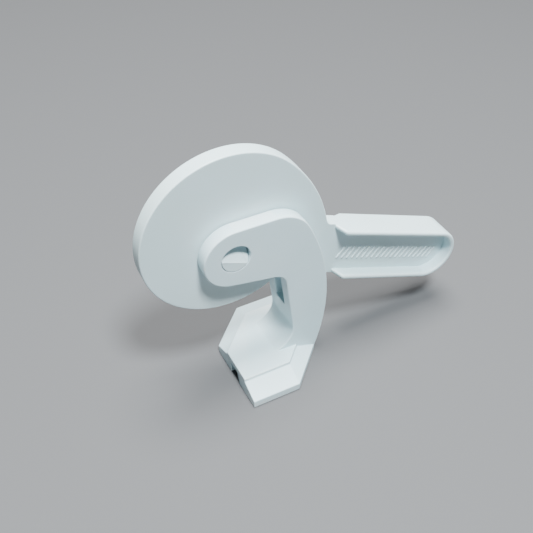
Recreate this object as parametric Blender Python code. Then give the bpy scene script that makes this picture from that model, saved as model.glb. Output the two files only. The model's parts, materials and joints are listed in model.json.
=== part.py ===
"""Cam latch: a forked C-shaped frame on a hexagonal foot, with an eccentric cam lever on a pivot pin.

Frame: X right (the way the lever points), Y back, Z up, metres. The origin is the centre of the
bounding box on the table, so the foot stands on Z = 0. The drawing of the frame is in the XZ plane
about the pivot, and the drawing of the cam lever is in its own U, W plane about the same pivot.
"""

from math import atan2, cos, pi, radians, sin, sqrt

import bmesh
import bpy
from mathutils import Vector

# Where the pivot is, above the table and along X from the middle of the whole object
PIVOT_HEIGHT = 0.0493
PIVOT_X = -0.02655
LEVER_REST = radians(-21.5)

# Cam disc and lever, in the lever's own plane: U runs along the lever, W across it
CAM_RADIUS = 0.025
CAM_U = -0.0014
CAM_W = 0.0043
CAM_THICKNESS = 0.0046
SHOULDER_EXTRA = 0.0208
SHOULDER_START = radians(66.5)
SHOULDER_FILLET = 0.002
THROAT_FILLET = 0.006
ROOT_HALF = 0.00885
WEB_HALF = 0.0079
LEVER_HALF = 0.0087
LEVER_TIP = 0.083
RIM_WALL = 0.0016
RIM_FRONT = 0.0061
RIM_BACK = 0.0039
RIM_START = 0.0332
FRONT_RAMP = 0.0019
BACK_RAMP_START = 0.0018
BACK_RAMP = 0.0034

# Pivot pin and its holes
PIN_RADIUS = 0.0042
HOLE_RADIUS = 0.00429
PIN_RAMP_W = -0.0012
PIN_RAMP_DEPTH = 0.0040
ROUND_STEPS = 64

# Frame: cheeks, neck and slot, about the pivot
FRAME_HALF = 0.00685
SLOT_HALF = 0.0026
SLOT_BOTTOM = -0.0283
CHEEK_RADIUS = 0.00925
CHEEK_SLOPE = radians(-10.8)
THROAT_RADIUS = 0.0045
NECK_TOP = (0.0150, -0.0123)
NECK_FOOT = (0.0196, -0.0433)
NECK_FILLET = 0.0082
NECK_SPREAD = 0.0098
SPINE_RADIUS = 0.066
SPINE_X = -0.0365
SPINE_Z = -0.0275
CROWN_RADIUS = 0.0115

# Foot, with X about the pivot and Z from the table
FOOT_LEFT = -0.0007
FOOT_RIGHT = 0.0268
FOOT_HALF = 0.0185
FOOT_CUT = 0.0122
FOOT_RIM = 0.0026
FLANK_TOP = 0.0051
PLATFORM_TOP = 0.0061
PLATFORM_HALF = 0.0122
PLATFORM_INSET = 0.0045
NOTCH_FRONT = -0.0088
NOTCH_BACK = -0.0028
NOTCH_HEIGHT = 0.0040
NOTCH_DEPTH = 0.0017


def arc(cx, cy, radius, start, end, steps):
    """Points of an arc about (cx, cy), from the start angle to the end angle, both included."""
    points = []
    for i in range(steps + 1):
        angle = start + (end - start) * i / steps
        points.append((cx + radius * cos(angle), cy + radius * sin(angle)))
    return points


def crossing(p, p_angle, q, q_angle):
    """Where the line through p at p_angle meets the line through q at q_angle."""
    det = sin(q_angle) * cos(p_angle) - cos(q_angle) * sin(p_angle)
    t = ((q[0] - p[0]) * sin(q_angle) - (q[1] - p[1]) * cos(q_angle)) / det
    return (p[0] + t * cos(p_angle), p[1] + t * sin(p_angle))


def fillet(before, corner, after, radius, steps):
    """Points of the arc that rounds a corner between two straight lines."""
    a = atan2(before[1] - corner[1], before[0] - corner[0])
    b = atan2(after[1] - corner[1], after[0] - corner[0])
    half = ((b - a + pi) % (2 * pi) - pi) / 2
    middle = a + half
    reach = radius / sin(abs(half))
    centre = (corner[0] + reach * cos(middle), corner[1] + reach * sin(middle))
    sweep = pi - 2 * abs(half)
    facing = middle + pi
    turn = sweep / 2 if half > 0 else -sweep / 2
    return arc(centre[0], centre[1], radius, facing + turn, facing - turn, steps)


def material(name, colour, roughness):
    made = bpy.data.materials.new(name)
    made.use_nodes = True
    shader = made.node_tree.nodes["Principled BSDF"]
    shader.inputs["Base Color"].default_value = colour
    shader.inputs["Roughness"].default_value = roughness
    shader.inputs["Metallic"].default_value = 0.0
    return made


def prism(outline, start, end, upright=True):
    """A closed prism: an outline in XZ run along Y, or an outline in XY run along Z."""
    shape = bmesh.new()
    corners = []
    for a, b in outline:
        corners.append(shape.verts.new((a, start, b) if upright else (a, b, start)))
    face = shape.faces.new(corners)
    grown = bmesh.ops.extrude_face_region(shape, geom=[face])
    moved = [item for item in grown["geom"] if isinstance(item, bmesh.types.BMVert)]
    step = (0, end - start, 0) if upright else (0, 0, end - start)
    bmesh.ops.translate(shape, verts=moved, vec=step)
    bmesh.ops.recalc_face_normals(shape, faces=shape.faces)
    return shape


def slice_off(shape, point, facing):
    """Removes all of a closed shape on the facing side of a plane, and closes the cut."""
    whole = shape.verts[:] + shape.edges[:] + shape.faces[:]
    normal = Vector(facing).normalized()
    cut = bmesh.ops.bisect_plane(
        shape, geom=whole, dist=1e-7, plane_co=point, plane_no=normal, clear_outer=True
    )
    loose = [item for item in cut["geom_cut"] if isinstance(item, bmesh.types.BMEdge)]
    bmesh.ops.holes_fill(shape, edges=loose)
    bmesh.ops.recalc_face_normals(shape, faces=shape.faces)


def add_object(name, shape, look=None):
    mesh = bpy.data.meshes.new(name)
    shape.to_mesh(mesh)
    shape.free()
    made = bpy.data.objects.new(name, mesh)
    bpy.context.collection.objects.link(made)
    if look:
        mesh.materials.append(look)
    return made


def add_cutter(name, shape):
    made = add_object(name, shape)
    made.hide_render = True
    made.display_type = "WIRE"
    return made


def boolean(target, operation, other):
    step = target.modifiers.new(operation.title(), "BOOLEAN")
    step.operation = operation
    step.solver = "EXACT"
    step.object = other


def smooth(made):
    made.data.shade_smooth()
    made.data.set_sharp_from_angle(angle=radians(28))


def frame_outline():
    """Side view of the cheeks and neck about the pivot, anticlockwise as seen from the front."""
    under = CHEEK_SLOPE - pi / 2
    touch = (CHEEK_RADIUS * cos(under), CHEEK_RADIUS * sin(under))
    neck_angle = atan2(NECK_FOOT[1] - NECK_TOP[1], NECK_FOOT[0] - NECK_TOP[0])
    throat = crossing(touch, CHEEK_SLOPE, NECK_TOP, neck_angle)
    seat = PLATFORM_TOP - PIVOT_HEIGHT - 0.0004
    heel = crossing(throat, neck_angle, (0.0, seat), 0.0)
    base = 0.0010 - PIVOT_HEIGHT
    points = arc(0.0, 0.0, CHEEK_RADIUS, pi / 2, under + 2 * pi, 24)
    points += fillet(touch, throat, heel, THROAT_RADIUS, 8)
    points += fillet(throat, heel, (NECK_SPREAD, seat), NECK_FILLET, 10)
    points.append((NECK_SPREAD, seat))
    points.append((NECK_SPREAD, base))
    crown_z = CHEEK_RADIUS - CROWN_RADIUS
    spine_to_crown = SPINE_RADIUS - CROWN_RADIUS
    crown_x = SPINE_X + sqrt(spine_to_crown**2 - (crown_z - SPINE_Z) ** 2)
    meet = atan2(crown_z - SPINE_Z, crown_x - SPINE_X)
    low = atan2(base - SPINE_Z, sqrt(SPINE_RADIUS**2 - (base - SPINE_Z) ** 2))
    points += arc(SPINE_X, SPINE_Z, SPINE_RADIUS, low, meet, 28)
    points += arc(crown_x, crown_z, CROWN_RADIUS, meet, pi / 2, 14)[1:]
    return points


def foot_outline(half, left, right, inset):
    """A rectangle with its front right and back left corners cut at 45 degrees."""
    shift = inset * sqrt(2)
    sum_front = FOOT_RIGHT + FOOT_HALF - FOOT_CUT - shift
    sum_back = FOOT_HALF - FOOT_CUT - FOOT_LEFT - shift
    return [
        (left, -half),
        (sum_front - half, -half),
        (right, right - sum_front),
        (right, half),
        (half - sum_back, half),
        (left, left + sum_back),
    ]


def foot_body():
    """The foot: an upright rim band, flanks that slope up from it, and the raised platform."""
    rim = foot_outline(FOOT_HALF, FOOT_LEFT, FOOT_RIGHT, 0.0)
    top = foot_outline(PLATFORM_HALF, FOOT_LEFT, FOOT_RIGHT, PLATFORM_INSET)
    levels = [(rim, 0.0), (rim, FOOT_RIM), (top, FLANK_TOP), (top, PLATFORM_TOP)]
    shape = bmesh.new()
    rings = []
    for outline, z in levels:
        rings.append([shape.verts.new((x, y, z - PIVOT_HEIGHT)) for x, y in outline])
    for lower, upper in zip(rings, rings[1:]):
        for i in range(len(lower)):
            j = (i + 1) % len(lower)
            shape.faces.new((lower[i], lower[j], upper[j], upper[i]))
    shape.faces.new(rings[0])
    shape.faces.new(rings[-1])
    bmesh.ops.recalc_face_normals(shape, faces=shape.faces)
    return shape


def cam_outline():
    """Side view of the cam disc, its shoulder and the lever's web, anticlockwise from the front."""
    shoulder_radius = CAM_RADIUS + SHOULDER_EXTRA
    shoulder_u = CAM_U - SHOULDER_EXTRA * cos(SHOULDER_START)
    shoulder_w = CAM_W - SHOULDER_EXTRA * sin(SHOULDER_START)
    rise = ROOT_HALF + SHOULDER_FILLET - shoulder_w
    run = sqrt((shoulder_radius + SHOULDER_FILLET) ** 2 - rise**2)
    upper_u = shoulder_u + run
    upper_angle = atan2(rise, run)
    drop = -ROOT_HALF - THROAT_FILLET - CAM_W
    reach = sqrt((CAM_RADIUS + THROAT_FILLET) ** 2 - drop**2)
    lower_u = CAM_U + reach
    lower_angle = atan2(drop, reach)
    top_w = ROOT_HALF + SHOULDER_FILLET
    end = LEVER_TIP - LEVER_HALF
    points = arc(upper_u, top_w, SHOULDER_FILLET, -pi / 2, upper_angle - pi, 6)
    points += arc(shoulder_u, shoulder_w, shoulder_radius, upper_angle, SHOULDER_START, 16)[1:]
    points += arc(CAM_U, CAM_W, CAM_RADIUS, SHOULDER_START, lower_angle + 2 * pi, 80)[1:]
    bottom_w = -ROOT_HALF - THROAT_FILLET
    points += arc(lower_u, bottom_w, THROAT_FILLET, lower_angle + pi, pi / 2, 8)[1:]
    points += [(0.0395, -ROOT_HALF), (0.0425, -WEB_HALF)]
    points += arc(end, 0.0, WEB_HALF, -pi / 2, pi / 2, 24)
    points += [(0.0375, WEB_HALF), (0.0345, ROOT_HALF)]
    return points


def rim_body():
    """The U-shaped rim round the lever, ramped down to the disc where it starts."""
    end = LEVER_TIP - LEVER_HALF
    inner = LEVER_HALF - RIM_WALL
    outline = [(0.030, -LEVER_HALF)]
    outline += arc(end, 0.0, LEVER_HALF, -pi / 2, pi / 2, 32)
    outline += [(0.030, LEVER_HALF), (0.030, inner)]
    outline += arc(end, 0.0, inner, pi / 2, -pi / 2, 32)
    outline.append((0.030, -inner))
    shape = prism(outline, -RIM_FRONT, RIM_BACK)
    flat = CAM_THICKNESS / 2
    away = (cos(LEVER_REST), -sin(LEVER_REST))
    front_rise = RIM_FRONT - flat
    back_rise = RIM_BACK - flat
    cuts = [
        (RIM_START, 0.0, -1.0, 0.0),
        (RIM_START, -flat, -front_rise, -FRONT_RAMP),
        (RIM_START + BACK_RAMP_START, flat, -back_rise, BACK_RAMP),
    ]
    for start, y, along, across in cuts:
        point = (start * away[0], y, start * away[1])
        facing = (along * away[0], across, along * away[1])
        slice_off(shape, point, facing)
    return shape


def pin_body():
    """The pin: a round bar, with the top of each end sloped back from just below the middle."""
    round_bar = arc(0.0, 0.0, PIN_RADIUS, 0.0, 2 * pi, ROUND_STEPS)[:-1]
    shape = prism(round_bar, -FRAME_HALF, FRAME_HALF)
    rise = PIN_RADIUS - PIN_RAMP_W
    for side in (-1, 1):
        slice_off(shape, (0.0, side * FRAME_HALF, PIN_RAMP_W), (0.0, side * rise, PIN_RAMP_DEPTH))
    return shape


for old in list(bpy.data.objects):
    bpy.data.objects.remove(old, do_unlink=True)

white_frame = material("frame_white_plastic", (0.80, 0.84, 0.83, 1.0), 0.42)
white_lever = material("lever_white_plastic", (0.80, 0.84, 0.83, 1.0), 0.40)
white_pin = material("pin_white_plastic", (0.82, 0.84, 0.82, 1.0), 0.35)

pivot = bpy.data.objects.new("pivot", None)
bpy.context.collection.objects.link(pivot)
pivot.location = (PIVOT_X, 0.0, PIVOT_HEIGHT)
lever_axis = bpy.data.objects.new("lever_axis", None)
bpy.context.collection.objects.link(lever_axis)
lever_axis.parent = pivot
lever_axis.rotation_euler = (0.0, -LEVER_REST, 0.0)

# Frame: cheeks and neck joined to the foot, then the slot, the pin's holes and the foot's notch
frame = add_object("frame", prism(frame_outline(), -FRAME_HALF, FRAME_HALF), white_frame)
foot = add_cutter("foot_body", foot_body())
slot_sides = [(-0.02, SLOT_BOTTOM), (0.05, SLOT_BOTTOM), (0.05, 0.02), (-0.02, 0.02)]
slot = add_cutter("slot_cutter", prism(slot_sides, -SLOT_HALF, SLOT_HALF))
round_hole = arc(0.0, 0.0, HOLE_RADIUS, 0.0, 2 * pi, ROUND_STEPS)[:-1]
frame_hole = add_cutter("frame_hole_cutter", prism(round_hole, -0.01, 0.01))
notch_plan = [
    (FOOT_LEFT - 0.002, NOTCH_FRONT),
    (FOOT_LEFT + NOTCH_DEPTH / 4, NOTCH_FRONT),
    (FOOT_LEFT + NOTCH_DEPTH, NOTCH_BACK),
    (FOOT_LEFT - 0.002, NOTCH_BACK),
]
notch_top = NOTCH_HEIGHT - PIVOT_HEIGHT
notch = add_cutter("notch_cutter", prism(notch_plan, -PIVOT_HEIGHT - 0.001, notch_top, False))
for piece in (frame, foot, slot, frame_hole, notch):
    piece.parent = pivot
boolean(frame, "UNION", foot)
boolean(frame, "DIFFERENCE", slot)
boolean(frame, "DIFFERENCE", frame_hole)
boolean(frame, "DIFFERENCE", notch)
smooth(frame)

# Cam lever: the flat disc and web, with the rim joined round the lever and the pin's hole cut out
flat_half = CAM_THICKNESS / 2
cam_lever = add_object("cam_lever", prism(cam_outline(), -flat_half, flat_half), white_lever)
rim = add_cutter("rim_body", rim_body())
cam_hole = add_cutter("cam_hole_cutter", prism(round_hole, -0.01, 0.01))
for piece in (cam_lever, rim, cam_hole):
    piece.parent = lever_axis
boolean(cam_lever, "UNION", rim)
boolean(cam_lever, "DIFFERENCE", cam_hole)
smooth(cam_lever)

# Pivot pin: a round bar with the upper part of each end ramped back
pivot_pin = add_object("pivot_pin", pin_body(), white_pin)
pivot_pin.parent = lever_axis
smooth(pivot_pin)
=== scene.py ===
"""Looks of a white plastic cam latch: its moulded frame, its cam lever and its pivot pin."""

import json
from math import atan2, cos, pi, radians, sin, sqrt

import bmesh
import bpy
from mathutils import Matrix, Vector


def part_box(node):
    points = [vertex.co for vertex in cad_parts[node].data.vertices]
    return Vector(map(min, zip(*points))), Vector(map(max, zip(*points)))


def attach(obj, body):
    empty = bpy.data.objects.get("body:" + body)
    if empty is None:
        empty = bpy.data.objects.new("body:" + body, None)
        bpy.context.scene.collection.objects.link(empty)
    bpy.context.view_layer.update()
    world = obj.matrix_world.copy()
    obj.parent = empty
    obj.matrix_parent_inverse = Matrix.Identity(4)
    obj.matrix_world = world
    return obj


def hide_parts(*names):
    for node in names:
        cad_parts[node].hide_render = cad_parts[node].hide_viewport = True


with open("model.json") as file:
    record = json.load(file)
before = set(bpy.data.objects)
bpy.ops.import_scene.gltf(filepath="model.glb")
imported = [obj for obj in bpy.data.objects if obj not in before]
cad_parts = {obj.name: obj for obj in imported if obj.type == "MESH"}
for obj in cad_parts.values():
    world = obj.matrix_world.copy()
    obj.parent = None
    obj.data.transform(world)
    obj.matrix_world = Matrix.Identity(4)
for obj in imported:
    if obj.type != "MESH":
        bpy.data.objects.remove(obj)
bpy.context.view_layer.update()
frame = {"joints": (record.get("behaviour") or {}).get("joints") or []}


# ---------------------------------------------------------------------------
# Frame: one injection moulding in white plastic. Two cheeks with a slot for the
# disc between them stand on a curved neck, which runs down into a flat foot.
# Every edge has the small round that the mould leaves.
# ---------------------------------------------------------------------------


def pick(piece):
    """Selects one object alone and makes it the active one."""
    bpy.ops.object.select_all(action="DESELECT")
    piece.select_set(True)
    bpy.context.view_layer.objects.active = piece


def begin_outline(name, x, z):
    """A new object holding one selected point, left in edit mode to be drawn on from."""
    bpy.ops.object.select_all(action="DESELECT")
    bpy.ops.mesh.primitive_plane_add(size=0.001, location=(x, 0.0, z))
    piece = bpy.context.object
    piece.name = name
    bpy.ops.object.transform_apply(location=True, rotation=True, scale=True)
    bpy.ops.object.mode_set(mode="EDIT")
    bpy.ops.mesh.select_mode(type="VERT")
    bpy.ops.mesh.merge(type="CENTER")
    return piece


def draw_line(piece, x, z):
    """Draws a straight line from the selected point to (x, z)."""
    points = bmesh.from_edit_mesh(piece.data).verts
    last = [point.co.copy() for point in points if point.select][0]
    step = (x - last.x, 0.0, z - last.z)
    bpy.ops.mesh.extrude_region_move(TRANSFORM_OT_translate={"value": step})


def draw_arc(x, z, turn, steps):
    """Draws an arc from the selected point round (x, z), anticlockwise in front view if turn > 0."""
    bpy.ops.mesh.spin(steps=steps, angle=turn, center=(x, 0.0, z), axis=(0.0, 1.0, 0.0))


def close_outline(front, back):
    """Fills the drawn outline and extrudes it along Y between the two faces."""
    bpy.ops.mesh.select_all(action="SELECT")
    bpy.ops.mesh.remove_doubles(threshold=0.00001)
    bpy.ops.mesh.edge_face_add()
    bpy.ops.transform.translate(value=(0.0, front, 0.0))
    depth = (0.0, back - front, 0.0)
    bpy.ops.mesh.extrude_region_move(TRANSFORM_OT_translate={"value": depth})
    bpy.ops.mesh.select_all(action="SELECT")
    bpy.ops.mesh.normals_make_consistent(inside=False)
    bpy.ops.object.mode_set(mode="OBJECT")


def add_block(name, low, high):
    """A block between two corners, with its place in its mesh."""
    bpy.ops.object.select_all(action="DESELECT")
    middle = [(a + b) / 2 for a, b in zip(low, high)]
    span = [b - a for a, b in zip(low, high)]
    bpy.ops.mesh.primitive_cube_add(size=1.0, location=middle, scale=span)
    bpy.ops.object.transform_apply(location=True, rotation=True, scale=True)
    bpy.context.object.name = name
    return bpy.context.object


def add_bar(name, x, z, radius, front, back):
    """A round bar along Y through (x, z)."""
    bpy.ops.object.select_all(action="DESELECT")
    bpy.ops.mesh.primitive_cylinder_add(
        vertices=96,
        radius=radius,
        depth=back - front,
        location=(x, (front + back) / 2, z),
        rotation=(pi / 2, 0.0, 0.0),
    )
    bpy.ops.object.transform_apply(location=True, rotation=True, scale=True)
    bpy.context.object.name = name
    return bpy.context.object


def shave(piece, point, facing):
    """Cuts away all of a piece that lies on the facing side of a plane, and closes the cut."""
    pick(piece)
    bpy.ops.object.mode_set(mode="EDIT")
    bpy.ops.mesh.select_all(action="SELECT")
    bpy.ops.mesh.bisect(
        plane_co=point,
        plane_no=Vector(facing).normalized(),
        use_fill=True,
        clear_outer=True,
        threshold=0.000001,
    )
    bpy.ops.mesh.select_all(action="SELECT")
    bpy.ops.mesh.normals_make_consistent(inside=False)
    bpy.ops.object.mode_set(mode="OBJECT")


def apply_modifier(piece, kind, **settings):
    pick(piece)
    modifier = piece.modifiers.new(kind.title(), kind)
    for name, value in settings.items():
        setattr(modifier, name, value)
    bpy.ops.object.modifier_apply(modifier=modifier.name)


def merge_with(piece, operation, other):
    """Joins another shape to a piece, or cuts it out, and throws the other shape away."""
    apply_modifier(piece, "BOOLEAN", operation=operation, solver="EXACT", object=other)
    bpy.data.objects.remove(other, do_unlink=True)


def round_edges(piece, radius):
    """Gives each sharp edge of a piece the small round of a moulding."""
    apply_modifier(
        piece,
        "BEVEL",
        width=radius,
        segments=3,
        limit_method="ANGLE",
        angle_limit=radians(20),
        use_clamp_overlap=False,
        miter_outer="MITER_ARC",
    )


def round_hole_edges(piece, radius):
    """Rounds the two outer edges of the pin's hole, where the cheeks' faces meet it."""
    pick(piece)
    bpy.ops.object.mode_set(mode="EDIT")
    bpy.ops.mesh.select_mode(type="EDGE")
    bpy.ops.mesh.select_all(action="DESELECT")
    shape = bmesh.from_edit_mesh(piece.data)
    for edge in shape.edges:
        ends = [Vector((end.co.x - pivot.x, end.co.z - pivot.z)) for end in edge.verts]
        on_hole = all(abs(end.length - hole_radius) < 0.00002 for end in ends)
        on_face = all(abs(abs(end.co.y) - cheek_back) < 0.00002 for end in edge.verts)
        edge.select_set(on_hole and on_face)
    bmesh.update_edit_mesh(piece.data)
    bpy.ops.mesh.bevel(offset=radius, segments=2)
    bpy.ops.object.mode_set(mode="OBJECT")


def finish_faces(piece):
    """Shades the rounds smoothly and keeps the flat faces flat."""
    pick(piece)
    bpy.ops.object.shade_smooth_by_angle(angle=radians(35))
    apply_modifier(piece, "WEIGHTED_NORMAL", keep_sharp=True, weight=80)


def crossing(p, p_angle, q, q_angle):
    """Where the line through p at p_angle meets the line through q at q_angle."""
    det = sin(q_angle) * cos(p_angle) - cos(q_angle) * sin(p_angle)
    t = ((q[0] - p[0]) * sin(q_angle) - (q[1] - p[1]) * cos(q_angle)) / det
    return (p[0] + t * cos(p_angle), p[1] + t * sin(p_angle))


def moulded_white(name, tone, shadow_tone, roughness, offset):
    """White moulded plastic: faint cloudy tone, specks of dirt, flow ripples, a fine satin grain,
    patchy gloss, and sharp edges painted brighter, partly as wear and partly as painted highlight.
    """
    made = bpy.data.materials.new(name)
    made.use_nodes = True
    nodes = made.node_tree.nodes
    links = made.node_tree.links
    shader = nodes["Principled BSDF"]
    shader.inputs["Metallic"].default_value = 0.0
    shader.inputs["IOR"].default_value = 1.5
    shader.inputs["Subsurface Weight"].default_value = 0.12
    shader.inputs["Subsurface Radius"].default_value = (1.0, 0.9, 0.8)
    shader.inputs["Subsurface Scale"].default_value = 0.0012
    place = nodes.new("ShaderNodeTexCoord")
    shift = nodes.new("ShaderNodeMapping")
    shift.inputs["Location"].default_value = offset
    links.new(place.outputs["Object"], shift.inputs["Vector"])

    def noise(scale, detail, rough=0.5):
        made_noise = nodes.new("ShaderNodeTexNoise")
        made_noise.inputs["Scale"].default_value = scale
        made_noise.inputs["Detail"].default_value = detail
        made_noise.inputs["Roughness"].default_value = rough
        links.new(shift.outputs["Vector"], made_noise.inputs["Vector"])
        return made_noise.outputs["Fac"]

    def spread(source, low, high, start, end):
        scaled = nodes.new("ShaderNodeMapRange")
        scaled.inputs["From Min"].default_value = low
        scaled.inputs["From Max"].default_value = high
        scaled.inputs["To Min"].default_value = start
        scaled.inputs["To Max"].default_value = end
        links.new(source, scaled.inputs["Value"])
        return scaled.outputs["Result"]

    def mix(share, first, second):
        blend = nodes.new("ShaderNodeMix")
        blend.data_type = "RGBA"
        links.new(share, blend.inputs["Factor"])
        for socket, colour in (("A", first), ("B", second)):
            target = [s for s in blend.inputs if s.name == socket and s.type == "RGBA"][0]
            if isinstance(colour, tuple):
                target.default_value = colour
            else:
                links.new(colour, target)
        return [s for s in blend.outputs if s.type == "RGBA"][0]

    # Tone: clouds about 15 mm across, and small specks of handling dirt
    clouds = spread(noise(65.0, 3.0), 0.35, 0.65, 0.0, 1.0)
    tinted = mix(clouds, shadow_tone, tone)
    specks = spread(noise(1400.0, 2.0, 0.7), 0.66, 0.80, 0.0, 0.16)
    grubby = mix(specks, tinted, (0.52, 0.53, 0.50, 1.0))
    # Wear and painted highlight: sharp convex edges are painted a little brighter, partly as rubbed
    # plastic and partly as a painted highlight where light catches the rounds
    edge_sharpness_for_wear_and_highlight = nodes.new("ShaderNodeNewGeometry").outputs["Pointiness"]
    edges = spread(edge_sharpness_for_wear_and_highlight, 0.52, 0.60, 0.0, 0.35)
    links.new(mix(edges, grubby, (0.90, 0.92, 0.91, 1.0)), shader.inputs["Base Color"])
    # Gloss: satin, patchy where it has been handled
    patches = spread(noise(220.0, 4.0, 0.6), 0.3, 0.7, roughness - 0.06, roughness + 0.09)
    links.new(patches, shader.inputs["Roughness"])
    # Relief: the mould's fine grain over shallow flow ripples
    ripples = nodes.new("ShaderNodeBump")
    ripples.inputs["Strength"].default_value = 0.35
    ripples.inputs["Distance"].default_value = 0.00012
    links.new(noise(180.0, 2.0), ripples.inputs["Height"])
    grain = nodes.new("ShaderNodeBump")
    grain.inputs["Strength"].default_value = 0.03
    grain.inputs["Distance"].default_value = 0.00003
    links.new(noise(2600.0, 3.0, 0.6), grain.inputs["Height"])
    links.new(ripples.outputs["Normal"], grain.inputs["Normal"])
    links.new(grain.outputs["Normal"], shader.inputs["Normal"])
    return made


pivot = Vector(frame["joints"][0]["pos_m"])
frame_low, frame_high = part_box("frame")

# Cheeks and neck: sizes about the pivot, with the faces as far apart as the pin is long
pin_low, pin_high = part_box("pivot_pin")
cheek_front, cheek_back = pin_low.y, pin_high.y
cheek_radius = frame_high.z - pivot.z
cheek_slope = radians(-10.8)
throat_radius = 0.0045
neck_top = (pivot.x + 0.0150, pivot.z - 0.0123)
neck_foot = (pivot.x + 0.0196, pivot.z - 0.0433)
heel_radius = 0.0082
spine_radius = 0.066
spine_x = pivot.x - 0.0365
spine_z = pivot.z - 0.0275
crown_radius = 0.0115
slot_half = 0.0026
slot_bottom = pivot.z - 0.0283
platform_top = 0.0061

# The corners of the outline, and how far each fillet turns
under_angle = cheek_slope - pi / 2
touch = (pivot.x + cheek_radius * cos(under_angle), pivot.z + cheek_radius * sin(under_angle))
neck_angle = atan2(neck_foot[1] - neck_top[1], neck_foot[0] - neck_top[0])
throat = crossing(touch, cheek_slope, neck_top, neck_angle)
# The heel is sunk a little below the platform's top, so that the two merge with no step
sink = 0.0004
seat = platform_top - sink
heel = crossing(throat, neck_angle, (0.0, seat), 0.0)
throat_turn = cheek_slope - neck_angle
throat_reach = throat_radius * abs(sin(throat_turn / 2) / cos(throat_turn / 2))
heel_turn = pi + neck_angle
heel_reach = heel_radius * abs(sin(heel_turn / 2) / cos(heel_turn / 2))
throat_start = (
    throat[0] - throat_reach * cos(cheek_slope),
    throat[1] - throat_reach * sin(cheek_slope),
)
throat_centre = (
    throat_start[0] + throat_radius * sin(cheek_slope),
    throat_start[1] - throat_radius * cos(cheek_slope),
)
heel_start = (heel[0] - heel_reach * cos(neck_angle), heel[1] - heel_reach * sin(neck_angle))
heel_centre = (heel[0] - heel_reach, seat + heel_radius)
crown_z = pivot.z + cheek_radius - crown_radius
crown_x = spine_x + sqrt((spine_radius - crown_radius) ** 2 - (crown_z - spine_z) ** 2)
meet = atan2(crown_z - spine_z, crown_x - spine_x)
neck_base = 0.0010
spine_run = sqrt(spine_radius**2 - (neck_base - spine_z) ** 2)
spine_start = atan2(neck_base - spine_z, spine_run)

frame_piece = begin_outline("frame_moulding", crown_x, pivot.z + cheek_radius)
draw_line(frame_piece, pivot.x, pivot.z + cheek_radius)
draw_arc(pivot.x, pivot.z, pi + cheek_slope, 64)
draw_line(frame_piece, *throat_start)
draw_arc(*throat_centre, neck_angle - cheek_slope, 24)
draw_line(frame_piece, *heel_start)
draw_arc(*heel_centre, -heel_turn, 36)
draw_line(frame_piece, heel_centre[0], neck_base)
draw_line(frame_piece, spine_x + spine_run, neck_base)
draw_arc(spine_x, spine_z, meet - spine_start, 72)
draw_arc(crown_x, crown_z, pi / 2 - meet, 32)
close_outline(cheek_front, cheek_back)

# The slot runs out past the cheeks at the left, the right and the top
slot_left, slot_right, slot_top = pivot.x - 0.02, pivot.x + 0.05, pivot.z + 0.02
slot = add_block("slot", (slot_left, -slot_half, slot_bottom), (slot_right, slot_half, slot_top))
merge_with(frame_piece, "DIFFERENCE", slot)
edge_round = 0.0004
round_edges(frame_piece, edge_round)

# The pin's hole is drilled after the edges are rounded, so that its own rim stays crisp
pin_clearance = 0.00009
hole_radius = (pin_high.z - pin_low.z) / 2 + pin_clearance
drill_end = 0.01
drill = add_bar("hole", pivot.x, pivot.z, hole_radius, -drill_end, drill_end)
merge_with(frame_piece, "DIFFERENCE", drill)
round_hole_edges(frame_piece, 0.0002)

# Foot: a rim band, flanks that slope up from it, and the platform that the disc clamps against.
# Two opposite corners of it are cut at 45 degrees, and its left wall has a notch.
foot_left = pivot.x - 0.0007
foot_right = pivot.x + 0.0268
foot_front, foot_back = frame_low.y, frame_high.y
corner_cut = 0.0122
rim_height = 0.0026
flank_rise = 0.0025
front_run = 0.0063
corner_run = 0.0045
platform_half = foot_back - front_run

foot = add_block("foot", (foot_left, foot_front, 0.0), (foot_right, foot_back, platform_top - sink))
front_corner = (foot_right, foot_front + corner_cut)
back_corner = (foot_left, foot_back - corner_cut)
shave(foot, (*front_corner, 0.0), (1.0, -1.0, 0.0))
shave(foot, (*back_corner, 0.0), (-1.0, 1.0, 0.0))
shave(foot, (0.0, foot_front, rim_height), (0.0, -flank_rise, front_run))
shave(foot, (0.0, foot_back, rim_height), (0.0, flank_rise, front_run))
slope = flank_rise / sqrt(2)
shave(foot, (*front_corner, rim_height), (slope, -slope, corner_run))
shave(foot, (*back_corner, rim_height), (-slope, slope, corner_run))

platform_base = 0.003
platform = add_block(
    "platform",
    (foot_left, -platform_half, platform_base),
    (foot_right, platform_half, platform_top),
)
inset = corner_run * sqrt(2)
shave(platform, (foot_right - inset, foot_front + corner_cut, 0.0), (1.0, -1.0, 0.0))
shave(platform, (foot_left + inset, foot_back - corner_cut, 0.0), (-1.0, 1.0, 0.0))
merge_with(foot, "UNION", platform)

pick(foot)
bpy.ops.object.mode_set(mode="EDIT")
bpy.ops.mesh.select_all(action="SELECT")
bpy.ops.mesh.remove_doubles(threshold=0.00001)
bpy.ops.mesh.dissolve_limited(angle_limit=radians(1))
bpy.ops.object.mode_set(mode="OBJECT")
round_edges(foot, 0.00025)

# The notch is deepest at its back end, and its cutter runs out past the foot's left and bottom
notch_front, notch_back = -0.0088, -0.0028
notch_depth, notch_height = 0.0017, 0.0040
notch_inner = foot_left + notch_depth
notch = add_block(
    "notch", (foot_left - 0.002, notch_front, -0.001), (notch_inner, notch_back, notch_height)
)
shave(notch, (notch_inner, notch_back, 0.0), (notch_back - notch_front, -notch_depth, 0.0))
merge_with(foot, "DIFFERENCE", notch)
merge_with(frame_piece, "UNION", foot)

# A sliver left open where the notch meets the foot's lower edge is closed
pick(frame_piece)
bpy.ops.object.mode_set(mode="EDIT")
bpy.ops.mesh.select_all(action="SELECT")
bpy.ops.mesh.fill_holes(sides=4)
bpy.ops.object.mode_set(mode="OBJECT")
finish_faces(frame_piece)

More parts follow.
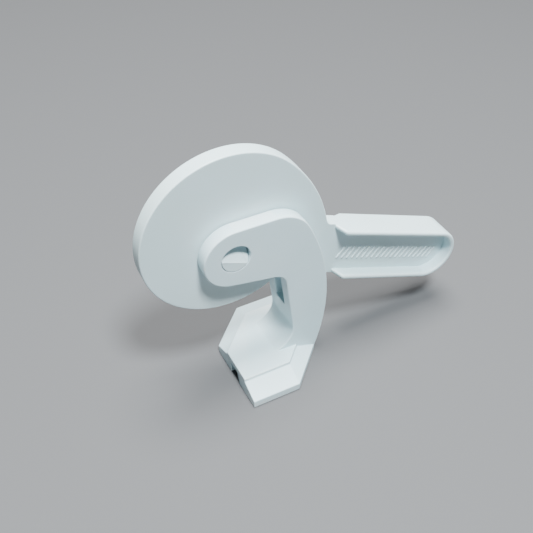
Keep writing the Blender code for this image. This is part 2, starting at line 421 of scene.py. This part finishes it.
frame_piece.data.materials.clear()
frame_plastic = moulded_white(
    "frame_white_plastic", (0.63, 0.79, 0.84, 1.0), (0.60, 0.77, 0.81, 1.0), 0.44, (0.0, 0.0, 0.0)
)
frame_piece.data.materials.append(frame_plastic)
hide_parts("frame")
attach(frame_piece, "frame")


# ---------------------------------------------------------------------------
# Cam lever: one injection moulding. A flat eccentric disc runs straight on into
# the lever's web, and a rim round the web makes a channel for the thumb, with
# low slanted ribs for grip. The rim is ramped down to the disc where it starts.
# ---------------------------------------------------------------------------

rest_angle = radians(-21.5)
cam_radius = 0.025
cam_u, cam_w = -0.0014, 0.0043
flat_half = 0.0023
flank_extra = 0.0208
flank_start = radians(66.5)
shoulder_fillet = 0.002
lower_fillet = 0.006
root_half = 0.00885
web_half = 0.0079
lever_half = 0.0087
lever_tip = 0.083
tip_u = lever_tip - lever_half
upper_step = (0.0345, 0.0375)
lower_step = (0.0395, 0.0425)
rim_wall = 0.0016
rim_front, rim_back = -0.0061, 0.0039
rim_start = 0.0332
front_ramp = 0.0019
back_ramp_start = 0.0018
back_ramp = 0.0034


def on_lever(u, w):
    """The place at rest of a point u along the lever from the pivot and w across it."""
    x = pivot.x + u * cos(rest_angle) - w * sin(rest_angle)
    z = pivot.z + u * sin(rest_angle) + w * cos(rest_angle)
    return (x, z)


# The centres of the flank and of the two fillets, where their arcs run into one another
flank_u = cam_u - flank_extra * cos(flank_start)
flank_w = cam_w - flank_extra * sin(flank_start)
fillet_rise = root_half + shoulder_fillet - flank_w
fillet_run = sqrt((cam_radius + flank_extra + shoulder_fillet) ** 2 - fillet_rise**2)
fillet_angle = atan2(fillet_rise, fillet_run)
fillet_centre = on_lever(flank_u + fillet_run, root_half + shoulder_fillet)
lower_drop = -root_half - lower_fillet - cam_w
lower_run = sqrt((cam_radius + lower_fillet) ** 2 - lower_drop**2)
lower_angle = atan2(lower_drop, lower_run)
lower_centre = on_lever(cam_u + lower_run, -root_half - lower_fillet)
tip_centre = on_lever(tip_u, 0.0)

cam_start = on_lever(cam_u + cam_radius * cos(flank_start), cam_w + cam_radius * sin(flank_start))
cam_lever = begin_outline("cam_lever_moulding", *cam_start)
draw_arc(*on_lever(cam_u, cam_w), lower_angle + 2 * pi - flank_start, 144)
draw_arc(*lower_centre, -pi / 2 - lower_angle, 24)
draw_line(cam_lever, *on_lever(lower_step[0], -root_half))
draw_line(cam_lever, *on_lever(lower_step[1], -web_half))
draw_line(cam_lever, *on_lever(tip_u, -web_half))
draw_arc(*tip_centre, pi, 48)
draw_line(cam_lever, *on_lever(upper_step[1], web_half))
draw_line(cam_lever, *on_lever(upper_step[0], root_half))
draw_line(cam_lever, *on_lever(flank_u + fillet_run, root_half))
draw_arc(*fillet_centre, fillet_angle - pi / 2, 12)
draw_arc(*on_lever(flank_u, flank_w), flank_start - fillet_angle, 48)
close_outline(-flat_half, flat_half)
round_edges(cam_lever, edge_round)

# Rim: a U drawn from a root inside the disc, then cut back square and ramped at both faces
inner_half = lever_half - rim_wall
rim_root = 0.030
rim = begin_outline("rim", *on_lever(rim_root, -lever_half))
draw_line(rim, *on_lever(tip_u, -lever_half))
draw_arc(*tip_centre, pi, 64)
draw_line(rim, *on_lever(rim_root, lever_half))
draw_line(rim, *on_lever(rim_root, inner_half))
draw_line(rim, *on_lever(tip_u, inner_half))
draw_arc(*tip_centre, -pi, 64)
draw_line(rim, *on_lever(rim_root, -inner_half))
draw_line(rim, *on_lever(rim_root, -lever_half))
close_outline(rim_front, rim_back)
rim_x = pivot.x + rim_start
shave(rim, (rim_x, 0.0, pivot.z), (-1.0, 0.0, 0.0))
shave(rim, (rim_x, -flat_half, pivot.z), (rim_front + flat_half, -front_ramp, 0.0))
back_x = rim_x + back_ramp_start
shave(rim, (back_x, flat_half, pivot.z), (flat_half - rim_back, back_ramp, 0.0))
round_edges(rim, 0.0007)
merge_with(cam_lever, "UNION", rim)
drill = add_bar("hole", pivot.x, pivot.z, hole_radius, -drill_end, drill_end)
merge_with(cam_lever, "DIFFERENCE", drill)
finish_faces(cam_lever)

# Grip ribs: low slanted bars along the channel, all alike, with their feet sunk in the web
rib_height = 0.00035
rib_foot = 0.0003
rib_half_width = 0.00032
rib_low, rib_high = -0.0032, 0.0010
rib_first, rib_last = 0.0385, 0.0765
rib_count = 20
rib_lean = 0.0014
rib_parts = []
for i in range(rib_count):
    along = rib_first + (rib_last - rib_first) * i / (rib_count - 1)
    rib = begin_outline("grip_rib", *on_lever(along - rib_half_width, rib_low))
    draw_line(rib, *on_lever(along + rib_half_width, rib_low))
    draw_line(rib, *on_lever(along + rib_half_width + rib_lean, rib_high))
    draw_line(rib, *on_lever(along - rib_half_width + rib_lean, rib_high))
    draw_line(rib, *on_lever(along - rib_half_width, rib_low))
    close_outline(-flat_half - rib_height, -flat_half + rib_foot)
    round_edges(rib, 0.00018)
    rib_parts.append(rib)
bpy.ops.object.select_all(action="DESELECT")
for rib in rib_parts:
    rib.select_set(True)
bpy.context.view_layer.objects.active = rib_parts[0]
bpy.ops.object.join()
grip_ribs = bpy.context.object
grip_ribs.name = "grip_ribs"
finish_faces(grip_ribs)

lever_plastic = moulded_white(
    "lever_white_plastic", (0.63, 0.79, 0.83, 1.0), (0.61, 0.77, 0.79, 1.0), 0.42, (0.3, 0.1, 0.2)
)
for piece in (cam_lever, grip_ribs):
    piece.data.materials.clear()
    piece.data.materials.append(lever_plastic)
    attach(piece, "lever")
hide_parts("cam_lever")


# ---------------------------------------------------------------------------
# Pivot pin: a round bar in the same plastic, through both cheeks and the disc.
# The top of each end slopes back from its middle, and it turns with the lever.
# ---------------------------------------------------------------------------

pin_radius = (pin_high.z - pin_low.z) / 2
pin_ease = 0.00008
ramp_w = -0.0012
ramp_depth = 0.0040
bar_radius = pin_radius - pin_ease
pin = add_bar("pivot_pin_bar", pivot.x, pivot.z, bar_radius, cheek_front, cheek_back)
ramp_x, ramp_z = on_lever(0.0, ramp_w)
for end_y, outward in ((cheek_front, -1.0), (cheek_back, 1.0)):
    across = -sin(rest_angle) * ramp_depth
    upward = cos(rest_angle) * ramp_depth
    shave(pin, (ramp_x, end_y, ramp_z), (across, outward * (pin_radius - ramp_w), upward))
round_edges(pin, 0.0002)
finish_faces(pin)
pin.data.materials.clear()
pin_plastic = moulded_white(
    "pin_white_plastic", (0.66, 0.81, 0.85, 1.0), (0.63, 0.79, 0.81, 1.0), 0.38, (0.7, 0.4, 0.1)
)
pin.data.materials.append(pin_plastic)
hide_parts("pivot_pin")
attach(pin, "lever")


# ---------------------------------------------------------------------------
# Studio: a plain pale floor, a broad light overhead and a smaller soft key light
# above the front. The camera looks down at the latch from its front left.
# ---------------------------------------------------------------------------

bpy.ops.object.select_all(action="DESELECT")
bpy.ops.mesh.primitive_plane_add(size=3.0, location=(0.0, 0.0, -0.0001))
bpy.ops.object.transform_apply(location=True, rotation=True, scale=True)
floor = bpy.context.object
floor.name = "studio_floor"
floor_paint = bpy.data.materials.new("studio_floor")
floor_paint.use_nodes = True
floor_shader = floor_paint.node_tree.nodes["Principled BSDF"]
floor_shader.inputs["Base Color"].default_value = (0.110, 0.112, 0.116, 1.0)
floor_shader.inputs["Roughness"].default_value = 0.85
floor.data.materials.append(floor_paint)

world = bpy.data.worlds.new("studio")
world.use_nodes = True
world.node_tree.nodes["Background"].inputs["Color"].default_value = (0.72, 0.84, 1.0, 1.0)
world.node_tree.nodes["Background"].inputs["Strength"].default_value = 0.03
bpy.context.scene.world = world


def add_softbox(name, place, size, power, colour):
    """An area light that faces the latch."""
    data = bpy.data.lights.new(name, "AREA")
    data.shape = "DISK"
    data.size = size
    data.energy = power
    data.color = colour
    lamp = bpy.data.objects.new(name, data)
    bpy.context.scene.collection.objects.link(lamp)
    lamp.location = place
    aim = Vector((pivot.x, 0.0, pivot.z / 2)) - lamp.location
    lamp.rotation_euler = aim.to_track_quat("-Z", "Y").to_euler()


add_softbox("key", (-0.03, -0.29, 0.70), 0.14, 12.8, (0.91, 0.97, 1.0))
add_softbox("ceiling", (0.0, 0.09, 1.00), 0.50, 26.0, (1.0, 1.0, 0.99))

camera_data = bpy.data.cameras.new("camera")
camera_data.lens = 50.84
camera_data.sensor_width = 36.0
camera_data.clip_start = 0.01
camera = bpy.data.objects.new("camera", camera_data)
bpy.context.scene.collection.objects.link(camera)
swing, drop, roll = radians(28.2), radians(42.7), radians(0.86)
turned = Matrix.Rotation(-swing, 3, "Z") @ Matrix.Rotation(pi / 2 - drop, 3, "X")
camera.matrix_world = Matrix.Translation((-0.0884, -0.1388, 0.1813)) @ (
    turned @ Matrix.Rotation(roll, 3, "Z")
).to_4x4()
bpy.context.scene.camera = camera

bpy.context.view_layer.update()
